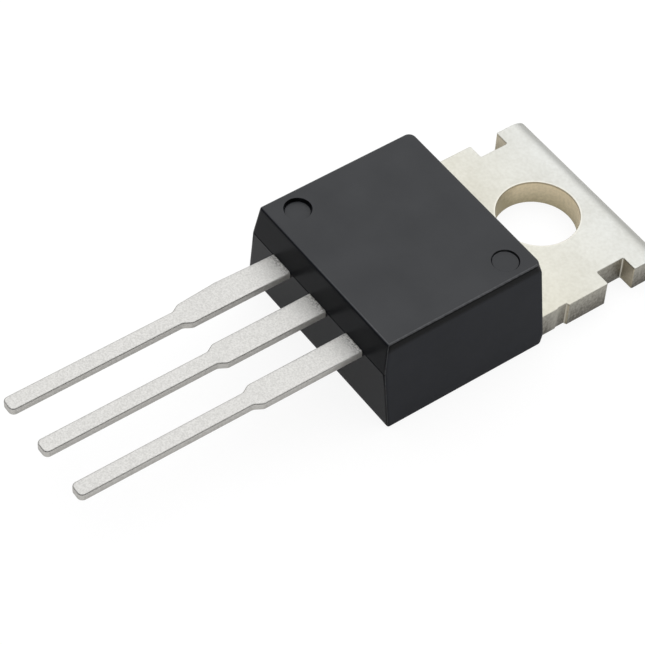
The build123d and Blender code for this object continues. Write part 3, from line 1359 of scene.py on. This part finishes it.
def stamped(
    plan: np.ndarray, quads: np.ndarray, top: float, bottom: float, roll: float, burr: float
) -> tuple[np.ndarray, np.ndarray]:
    """A flat stamping: a face, its cut wall and its back.

    The wall's rings step out from the face over a quarter circle, go straight down, and step back
    in over a much smaller one.

    Args:
        plan: the face's points.
        quads: its quads.
        top: the face's height.
        bottom: the back's height.
        roll: the radius of the edge that the punch rolls over.
        burr: the radius of the edge at the back.

    Returns:
        The points and the quads of the closed surface.
    """
    rim, way = border_normals(plan, quads)
    steps = [(out, top - down) for out, down in rolled_edge(roll, ROLL_STEPS)[1:]]
    steps += [(roll, top + share * (bottom - top)) for share in (0.4, 0.6, 0.8)]
    foot = rolled_edge(burr, 3)[:0:-1]
    steps += [(roll - burr + out, bottom + down) for out, down in foot]
    walls = np.array(
        [np.column_stack([plan[rim] + out * way, np.full(len(rim), z)]) for out, z in steps]
    )
    face = np.column_stack([plan, np.full(len(plan), top)])
    back = np.column_stack([plan, np.full(len(plan), bottom)])
    back[rim, :2] += (roll - burr) * way
    return closed_shell(face, walls, back, quads)


@dataclass
class OuterLeads:
    """The two separate leads, each with its bond post inside the case."""

    blade: LeadBlade = field(default_factory=LeadBlade)
    post_width: float = 2.30
    post_length: float = 1.50
    post_corner_radius: float = 0.20
    post_inner_radius: float = 0.01
    burr: float = 0.02
    # From the case to the widest place of the input lead's outer side.
    swell_to_case: float = 2.90
    # How far that side stands out at the case, and at its widest place.
    swells: tuple[float, float] = (0.05, 0.15)

    def swell(self, plan: np.ndarray, front: float) -> np.ndarray:
        """How far the input lead's outer side stands out, for each point of its face.

        The punch left that side in two straight runs: it widens slightly from the shoulder to a
        place part way along, and narrows again towards the case.

        Args:
            plan: the face's points, about X = 0.
            front: where the case begins.

        Returns:
            A distance for each point.
        """
        places = front - np.array([self.blade.wide_length, self.swell_to_case, 0.0])
        out = np.interp(plan[:, 1], places, [0.0, self.swells[1], self.swells[0]], right=0.0)
        return out * np.clip(-2 * plan[:, 0] / self.blade.wide_width, 0.0, 1.0)

    def outline(self, tip: float, front: float, inner_end: float) -> np.ndarray:
        """The right half of a lead's face, with rows of its own where the swell turns.

        Args:
            tip: where the lead ends along Y.
            front: where the case begins.
            inner_end: where the post ends.

        Returns:
            The outline from the tip's edge to the post's corner, as (half width, Y) rows.
        """
        edge = self.blade.edge_radius
        inner = self.blade.wide_width / 2 - edge
        post = self.post_width / 2 - edge
        start = inner_end - self.post_length + edge
        end = inner_end - edge
        corner = self.post_corner_radius - edge
        reach = [(inner, start), (post, start), (post, end), (0.0, end)]
        outline = self.blade.half_outline(
            tip, front, reach, [self.post_inner_radius, corner, corner]
        )[:-1]
        widest = front - self.swell_to_case
        beyond = np.argmax(outline[:, 1] > widest)
        turns = [[inner, widest], [inner, front], [inner, front + GUARD]]
        return np.insert(outline, beyond, turns, axis=0)

    def build(self, finish: Material) -> None:
        """Makes both leads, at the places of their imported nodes.

        Args:
            finish: the leads' finish.
        """
        front = extent("moulded_case")[0][1]
        for node in ("input_lead", "output_lead"):
            low, high = extent(node)
            plan, quads = self.blade.sheet(self.outline(low[1], front, high[1]))
            if node == "input_lead":
                plan[:, 0] -= self.swell(plan, front)
            plan[:, 0] += (low[0] + high[0]) / 2
            edge = self.blade.edge_radius
            lead = make_piece(
                f"{node}_blade", *stamped(plan, quads, high[2], low[2], edge, self.burr)
            )
            dress(lead, finish, Slot.PLATED_COPPER, node)


@dataclass
class TabFrame:
    """The thick plate with the mounting hole and notches, and the middle lead in one piece with it."""

    blade: LeadBlade = field(default_factory=LeadBlade)
    thickness: float = 1.30
    length: float = 6.59
    hole_radius: float = 1.86
    hole_cells: int = 20
    # How far from its axis the hole bends the grid's lines.
    hole_reach: float = 2.55
    # How far from the hole's rim the close lines round it lie.
    hole_rings: tuple[float, ...] = (0.0, 0.04, 0.1, 0.2, 0.4)
    edge_radius: float = 0.03
    burr: float = 0.01
    corner_radius: float = 0.12
    notch_corner_radius: float = 0.07
    corner_cells: int = 3
    # The tab's end rolls down towards its edge.
    end_roll_length: float = 0.70
    end_roll_drop: float = 0.25
    end_roll_cells: int = 10
    notch_to_case: float = 3.58
    notch_width: float = 1.48
    notch_depth: float = 0.78
    neck_inset: float = 0.10
    neck_embed: float = 0.90
    # The tie bar's scar on each side of the neck: its place, its sloping ends and its depth.
    relief_to_case: float = 0.87
    relief_length: float = 0.60
    relief_slope: float = 0.07
    relief_depth: float = 0.045
    # The pad inside the case: how far it stands in from the neck's sides and the case's front.
    pad_inset: float = 0.725
    pad_setback: float = 2.30
    pad_lines: int = 8
    # The step round the pad's back, which the epoxy grips.
    rebate_width: float = 0.35
    rebate_height: float = 0.45
    # The groove across the neck, inside the case.
    groove_embed: float = 0.35
    groove_width: float = 0.30
    groove_depth: float = 0.20
    # The middle lead's way down to the pad, inside the case.
    bend_embed: float = 0.75
    bend_run: float = 1.05
    bend_radius: float = 0.45
    bend_steps: int = 6
    strip_overlap: float = 0.40
    # How finely the bend's slope is summed, and how far past the strip's end.
    slope_samples: int = 4001
    past_end: float = 1.0

    def __post_init__(self) -> None:
        """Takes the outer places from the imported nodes."""
        low, high = extent("tab_frame")
        self.half = high[0]
        self.tip = low[1]
        self.end = high[1]
        self.lead_top = high[2]
        self.lead_bottom = extent("input_lead")[0][2]
        self.rear = self.end - self.length
        self.front = extent("moulded_case")[0][1]
        self.neck_inner = self.rear - self.neck_embed
        self.pad_front = self.front + self.pad_setback

    def scar_places(self) -> list[float]:
        """Where the tie bar's scar begins, is full, begins to end and ends, along Y."""
        start = self.rear + self.relief_to_case
        end = start + self.relief_length
        return [start, start + self.relief_slope, end - self.relief_slope, end]

    def side_shift(self, y: np.ndarray) -> np.ndarray:
        """How far the plate's side stands in from its full width, along Y.

        The neck is slightly narrower than the tab, and between them lies the shallow scar of the
        strip's tie bar, with sloping ends.

        Args:
            y: the places.

        Returns:
            A distance for each place.
        """
        scar = self.neck_inset + self.relief_depth
        return np.interp(y, self.scar_places(), [self.neck_inset, scar, scar, 0.0])

    def drop(self, y: np.ndarray) -> np.ndarray:
        """How far the plate's upper face lies below its full height, along Y.

        Over the tab's rolled end it is an arc that leaves the face level, and whose radius is the
        sum of its length's and its drop's squares over twice the drop. Across the neck it is a
        flat-bottomed groove.

        Args:
            y: the places.

        Returns:
            A depth for each place.
        """
        over = np.clip(y - (self.end - self.end_roll_length), 0.0, self.end_roll_length)
        radius = (self.end_roll_length**2 + self.end_roll_drop**2) / (2 * self.end_roll_drop)
        roll = radius - np.sqrt(radius**2 - over**2)
        off = np.abs(y - (self.rear - self.groove_embed)) - self.groove_width / 2
        return roll + self.groove_depth * (off < 1e-3)

    def plate(self) -> tuple[np.ndarray, np.ndarray]:
        """The plate as a closed surface.

        Its face is one sheet of grid lines with the notches, the hole and the strips beside the pad
        left out. Lines round the hole are drawn in to circles, and the sides follow side_shift.

        Returns:
            The points and the quads.
        """
        edge = self.edge_radius
        side = self.half - edge
        end = self.end - edge
        notch_in = self.half - self.notch_depth - edge
        notch_start = self.rear + self.notch_to_case
        low_y = notch_start - edge
        high_y = notch_start + self.notch_width + edge
        pad_side = self.half - self.neck_inset - self.pad_inset - edge
        pad_front = self.pad_front + edge
        hole = self.hole_radius + edge
        corner = corner_offsets(self.corner_radius - edge, self.corner_cells)
        convex = corner_offsets(self.notch_corner_radius - edge, self.corner_cells)
        concave = corner_offsets(self.notch_corner_radius + edge, self.corner_cells)
        rings = hole + np.array(self.hole_rings)
        block = lines(rim_offsets(hole, self.hole_cells), rings, -rings)
        half_lines = lines(
            notch_in,
            notch_in + concave,
            side - corner,
            side - convex,
            pad_side,
            (notch_in + side) / 2,
        )
        across = lines(block, half_lines, -half_lines)
        # A close pair of lines makes each of the groove's walls.
        groove_walls = np.array([-0.51, -0.5, 0.5, 0.51]) * self.groove_width
        along = lines(
            block,
            end - corner,
            self.end - self.end_roll_length * np.linspace(0.1, 1.0, self.end_roll_cells),
            low_y - convex,
            high_y + convex,
            low_y + concave,
            high_y - concave,
            self.scar_places(),
            self.rear - self.groove_embed + groove_walls,
            self.neck_inner,
            np.linspace(pad_front, self.neck_inner, self.pad_lines),
        )
        points, quads = grid(across, along)
        middle = points[quads].mean(axis=1)
        away = np.abs(middle[:, 0])
        in_notch = (away > notch_in) & (middle[:, 1] > low_y) & (middle[:, 1] < high_y)
        beside_pad = (away > pad_side) & (middle[:, 1] < self.neck_inner)
        in_hole = np.abs(middle).max(axis=1) < hole
        points, quads = keep_quads(points, quads, ~(in_notch | beside_pad | in_hole))
        points = self.round_corners(points, quads, notch_in, low_y, high_y)
        on_side = smooth((np.abs(points[:, 0]) - pad_side) / (side - pad_side))
        points[:, 0] -= np.sign(points[:, 0]) * on_side * self.side_shift(points[:, 1])
        points = wrap_round(points, np.zeros(2), hole, self.hole_reach)
        return self.carry_walls(points, quads)

    def round_corners(
        self, points: np.ndarray, quads: np.ndarray, notch_in: float, low_y: float, high_y: float
    ) -> np.ndarray:
        """Rounds the corners of the tab and its notches, both sides at once.

        Border points within a radius of a corner move on to the arc that is tangent to both edges:
        a point's distance along its edge sets its angle on the arc. The face is drawn in by the
        edge's rounding, so its outer corners have smaller radii and its inner ones larger.

        Args:
            points: the sheet's points, as (count, 2).
            quads: its quads.
            notch_in: the notches' inner end along X.
            low_y: their end towards the case.
            high_y: their end away from it.

        Returns:
            The moved points.
        """
        edge = self.edge_radius
        small = self.notch_corner_radius
        side = self.half - edge
        end = self.end - edge
        corners = [
            ((side, end), (-1, -1), self.corner_radius - edge),
            ((side, high_y), (-1, 1), small - edge),
            ((side, low_y), (-1, -1), small - edge),
            ((notch_in, high_y), (1, -1), small + edge),
            ((notch_in, low_y), (1, 1), small + edge),
        ]
        rim = np.unique(border_edges(quads)[0])
        result = points.copy()
        mirror = np.where(points[:, :1] < 0, -1.0, 1.0)
        for corner, inward, reach in corners:
            local = (np.column_stack([np.abs(points[:, 0]), points[:, 1]]) - corner) * inward
            on_edge = np.zeros(len(points), bool)
            on_edge[rim] = True
            on_edge &= np.abs(local.min(axis=1)) < TOUCHING
            on_edge &= local.max(axis=1) < reach
            along = local[on_edge]
            first = along[:, 0] >= along[:, 1]
            angle = np.arctan(1.0 - along.max(axis=1) / reach)
            near = reach * (1.0 - np.sin(angle))
            far = reach * (1.0 - np.cos(angle))
            moved = np.column_stack([np.where(first, near, far), np.where(first, far, near)])
            placed = np.array(corner) + moved * inward
            result[on_edge] = placed * np.column_stack([mirror[on_edge, 0], np.ones(len(placed))])
        return result

    def carry_walls(self, plan: np.ndarray, quads: np.ndarray) -> tuple[np.ndarray, np.ndarray]:
        """Carries the plate's border down to its back, and lowers what rolls or is grooved.

        Below the rebate's height, the pad's outline is drawn in from the sides and the front. The
        face's drop is shared out evenly down to the back.

        Args:
            plan: the face's points, as (count, 2).
            quads: its quads.

        Returns:
            The points and the quads of the closed surface.
        """
        edge = self.edge_radius
        rim, way = border_normals(plan, quads)
        in_pad = plan[:, 1] < self.neck_inner + TOUCHING
        pad_half = self.half - self.neck_inset - self.pad_inset - edge
        in_pad &= np.abs(plan[:, 0]) < pad_half + TOUCHING
        narrow = (pad_half - self.rebate_width) / pad_half
        length = self.neck_inner - self.pad_front - edge
        shorter = (length - self.rebate_width) / length
        drawn_in = plan.copy()
        drawn_in[in_pad, 0] *= narrow
        drawn_in[in_pad, 1] = self.neck_inner + (plan[in_pad, 1] - self.neck_inner) * shorter
        steps = [(plan, out, self.thickness - down) for out, down in rolled_edge(edge, ROLL_STEPS)[1:]]
        steps += [(plan, edge, share * self.thickness) for share in (0.8, 0.6)]
        steps += [(plan, edge, self.rebate_height), (drawn_in, edge, self.rebate_height)]
        steps += [(drawn_in, edge, self.rebate_height / 2)]
        foot = rolled_edge(self.burr, 2)[:0:-1]
        steps += [(drawn_in, edge - self.burr + out, down) for out, down in foot]
        walls = np.array(
            [np.column_stack([base[rim] + out * way, np.full(len(rim), z)]) for base, out, z in steps]
        )
        face = np.column_stack([plan, np.full(len(plan), self.thickness)])
        back = np.column_stack([drawn_in, np.zeros(len(plan))])
        back[rim, :2] += (edge - self.burr) * way
        points, faces = closed_shell(face, walls, back, quads)
        points[:, 2] *= 1.0 - self.drop(points[:, 1]) / self.thickness
        return points, faces

    def strip(self) -> tuple[np.ndarray, np.ndarray]:
        """The middle lead as a closed surface: a flat blade, bent down inside the case to the pad.

        The blade is made flat, with its length along Y. Its centre line's slope is then followed
        along that length, from level to steep and back over two equal arcs, and each point keeps
        its height above the centre line.

        Returns:
            The points and the quads.
        """
        thick = self.lead_top - self.lead_bottom
        centre = self.lead_top - thick / 2
        fall = centre - (self.thickness - thick / 2)
        steepest = np.arctan2(fall, self.bend_run)
        tangent = self.bend_radius * np.tan(steepest / 2)
        arc = self.bend_radius * steepest
        bend_y = self.front + self.bend_embed
        straight = np.hypot(fall, self.bend_run) - 2 * tangent
        level = self.pad_front + self.strip_overlap - (bend_y + self.bend_run) - tangent
        knots = bend_y - tangent + np.cumsum([0.0, arc, straight, arc, level])
        inner = self.blade.wide_width / 2 - self.blade.edge_radius
        outline = self.blade.half_outline(self.tip, self.front, [(inner, knots[0])], [])
        inside = np.concatenate(
            [np.linspace(a, b, self.bend_steps + 1)[1:] for a, b in zip(knots, knots[1:])]
        )
        outline = np.vstack([outline, np.column_stack([np.full(len(inside), inner), inside])])
        plan, quads = self.blade.sheet(outline)
        points, faces = stamped(
            plan, quads, self.lead_top, self.lead_bottom, self.blade.edge_radius, 2 * self.burr
        )
        # The centre line, from its slope: summed along the length, and a little past it, in fine
        # even steps, each with the slope at its middle.
        run = np.linspace(knots[0], knots[-1] + self.past_end, self.slope_samples)
        slope = np.interp(run, knots[:4], [0.0, -steepest, -steepest, 0.0])
        step = run[1] - run[0]
        halfway = slope[:-1] + np.diff(slope) / 2
        line_y = knots[0] + np.concatenate([[0.0], np.cumsum(np.cos(halfway) * step)])
        line_z = centre + np.concatenate([[0.0], np.cumsum(np.sin(halfway) * step)])
        bent = points[:, 1] > knots[0]
        place = points[bent, 1]
        above = points[bent, 2] - centre
        tilt = np.interp(place, run, slope)
        points[bent, 1] = np.interp(place, run, line_y) - np.sin(tilt) * above
        points[bent, 2] = np.interp(place, run, line_z) + np.cos(tilt) * above
        return points, faces

    def build(self, tab_finish: Material, lead_finish: Material) -> None:
        """Makes the frame.

        Args:
            tab_finish: the plate's finish.
            lead_finish: the middle lead's finish.
        """
        tab = make_piece("tab_plate", *self.plate())
        dress(tab, tab_finish, Slot.PLATED_COPPER, "tab_frame")
        lead = make_piece("middle_lead_strip", *self.strip())
        dress(lead, lead_finish, Slot.PLATED_COPPER, "tab_frame")


@dataclass
class Inside:
    """What the case holds: the die, its solder and the bond wires, as packed."""

    # Ground and polished: dark blue-grey, and almost a mirror.
    silicon: SmallPartFinish = SmallPartFinish(
        "polished_silicon", "#3c3f4a", "#474a57", 0.3, 0.0, (0.12, 0.2)
    )
    # Melted and left: dull grey with a coarse grain.
    solder: SmallPartFinish = SmallPartFinish(
        "soft_solder", "#8e8d89", "#a3a29d", 0.06, 1.0, (0.4, 0.55)
    )
    # Drawn through a die: bright, with a fine grain.
    wire: SmallPartFinish = SmallPartFinish(
        "drawn_aluminium_wire", "#d3d4d6", "#c2c3c6", 0.05, 1.0, (0.3, 0.42)
    )

    def dress_nodes(self) -> None:
        """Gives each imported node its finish."""
        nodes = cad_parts
        dress(nodes["silicon_die"], self.silicon.build(), Slot.SILICON)
        dress(nodes["die_solder"], self.solder.build(), Slot.SOLDER)
        wire = self.wire.build()
        for node in ("input_bond_wire", "output_bond_wire", "ground_bond_wire"):
            dress(nodes[node], wire, Slot.BOND_WIRE)


# --------------------------------------------------------------------------------------------
# The studio
# --------------------------------------------------------------------------------------------


@dataclass
class Studio:
    """A pale floor under soft white light, and the camera."""

    azimuth_deg: float = 51.44
    elevation_deg: float = 50.204
    roll_deg: float = 3.687
    distance_mm: float = 113.373
    lens_mm: float = 151.817
    # What the camera aims at, in millimetres: its X, its place past the case's front, its height.
    aim_x: float = 0.0935
    aim_past_case: float = 0.2754
    aim_height: float = 1.763
    # Half the floor's width.
    floor_size_mm: float = 4000.0
    floor_colour: str = "#bcbcbc"
    floor_gap_mm: float = 0.01
    # To the camera, this share of the floor is an even white glow, and the rest is lit.
    floor_glow: float = 0.75
    floor_glow_level: float = 1.18
    light_axis: tuple[float, float, float] = (-0.3, 0.3, 0.9)
    light_inner_deg: float = 28.0
    light_outer_deg: float = 66.0
    light_level: float = 1.25
    room_level: float = 0.1
    # The sines of the heights at which the white horizon begins to fade and ends.
    horizon: tuple[float, float] = (0.12, 0.25)
    # How much stronger the light is on dull surfaces than in a mirror.
    light_gain: float = 1.65
    # The share of the floor's glow and the horizon that a mirror shows.
    mirrored_share: float = 0.5

    def camera(self) -> None:
        """Places the camera on a sphere about its aim, with the given roll about its own axis."""
        azimuth, elevation, roll = np.radians([self.azimuth_deg, self.elevation_deg, self.roll_deg])
        out = np.cos(elevation)
        back = Vector((np.sin(azimuth) * out, -np.cos(azimuth) * out, np.sin(elevation)))
        level = Vector((np.cos(azimuth), np.sin(azimuth), 0.0))
        upright = back.cross(level)
        right = level * np.cos(roll) + upright * np.sin(roll)
        up = upright * np.cos(roll) - level * np.sin(roll)
        case_front = extent("moulded_case")[0][1]
        aim = Vector((self.aim_x, case_front + self.aim_past_case, self.aim_height))
        place = (aim + back * self.distance_mm) * MM
        data = bpy.data.cameras.new("camera")
        data.lens = self.lens_mm
        data.clip_start = 0.005
        data.clip_end = 100.0
        camera = bpy.data.objects.new("camera", data)
        bpy.context.scene.collection.objects.link(camera)
        axes = Matrix((right, up, back)).transposed().to_4x4()
        camera.matrix_world = Matrix.Translation(place) @ axes
        bpy.context.scene.camera = camera

    def seen(self, tree: Tree, mirrored: float) -> Socket:
        """What the camera sees, apart from what lights the part.

        Args:
            tree: the floor's or the world's node tree.
            mirrored: the share that a mirror or glass ray gets.

        Returns:
            One to the camera, that share to a mirror or glass ray, and nought to other light.
        """
        path = add_node(tree, "ShaderNodeLightPath")
        mirror = path.outputs["Is Glossy Ray"]
        glass = path.outputs["Is Transmission Ray"]
        clear = combined(tree, "MULTIPLY", combined(tree, "MAXIMUM", mirror, glass), mirrored)
        return combined(tree, "MAXIMUM", path.outputs["Is Camera Ray"], clear)

    def floor(self) -> None:
        """A wide pale sheet under the part, which looks white where no shadow falls on it."""
        edges = np.linspace(-self.floor_size_mm, self.floor_size_mm, 3)
        points, quads = grid(edges, edges)
        level = np.full(len(points), CAD_BOX[0][2] / MM - self.floor_gap_mm)
        sheet = make_piece("studio_floor", np.column_stack([points, level]), quads)
        material, tree = new_tree("pale_studio_floor")
        lit = add_node(tree, "ShaderNodeBsdfDiffuse", {"Color": linear(self.floor_colour)})
        glow = add_node(
            tree,
            "ShaderNodeEmission",
            {"Color": linear("#ffffff"), "Strength": self.floor_glow_level},
        )
        share = combined(tree, "MULTIPLY", self.seen(tree, self.mirrored_share), self.floor_glow)
        mix = add_node(tree, "ShaderNodeMixShader", {0: share, 1: lit.outputs[0], 2: glow.outputs[0]})
        add_node(tree, "ShaderNodeOutputMaterial", {"Surface": mix.outputs[0]})
        material.cycles.emission_sampling = "NONE"
        sheet.data.materials.append(material)

    def world(self) -> None:
        """A soft wide light over the part, a dim room round it and a white horizon.

        The light is bright within an angle of its axis and fades out to a wider one. The horizon is
        white up to a few degrees, so it meets the floor without a seam.
        """
        world = bpy.data.worlds.new("studio")
        world.use_nodes = True
        tree = world.node_tree
        tree.nodes.clear()
        way = add_node(tree, "ShaderNodeTexCoord").outputs["Generated"]
        axis = Vector(self.light_axis).normalized()
        facing = add_node(
            tree, "ShaderNodeVectorMath", {0: way, 1: axis}, operation="DOT_PRODUCT"
        ).outputs["Value"]
        inner, outer = np.cos(np.radians([self.light_inner_deg, self.light_outer_deg]))
        over = ranged(tree, facing, outer, inner, (self.room_level, self.light_level))
        gain = ranged(tree, self.seen(tree, 1.0), 0.0, 1.0, (self.light_gain, 1.0))
        over = combined(tree, "MULTIPLY", over, gain)
        height = add_node(tree, "ShaderNodeSeparateXYZ", {0: way}).outputs["Z"]
        low = ranged(tree, height, self.horizon[0], self.horizon[1], (1.0, 0.0))
        backdrop = combined(tree, "MULTIPLY", low, self.seen(tree, self.mirrored_share))
        level = combined(tree, "MAXIMUM", over, backdrop)
        light = add_node(
            tree, "ShaderNodeBackground", {"Color": linear("#ffffff"), "Strength": level}
        )
        add_node(tree, "ShaderNodeOutputWorld", {"Surface": light.outputs[0]})
        world.cycles.sampling_method = "NONE"
        bpy.context.scene.world = world

    def build(self) -> None:
        """Sets up the whole studio."""
        scene = bpy.context.scene
        scene.view_settings.view_transform = "Standard"
        self.camera()
        self.floor()
        self.world()


def main() -> None:
    """Builds the part and its studio, in order."""
    logging.basicConfig(level=logging.INFO, format="%(name)s: %(message)s")
    lead_finish = TIN_PLATE.build()
    MouldedCase().build()
    TabFrame().build(NICKEL_PLATE.build(), lead_finish)
    OuterLeads().build(lead_finish)
    Inside().dress_nodes()
    Studio().build()


if __name__ == "__main__":
    main()
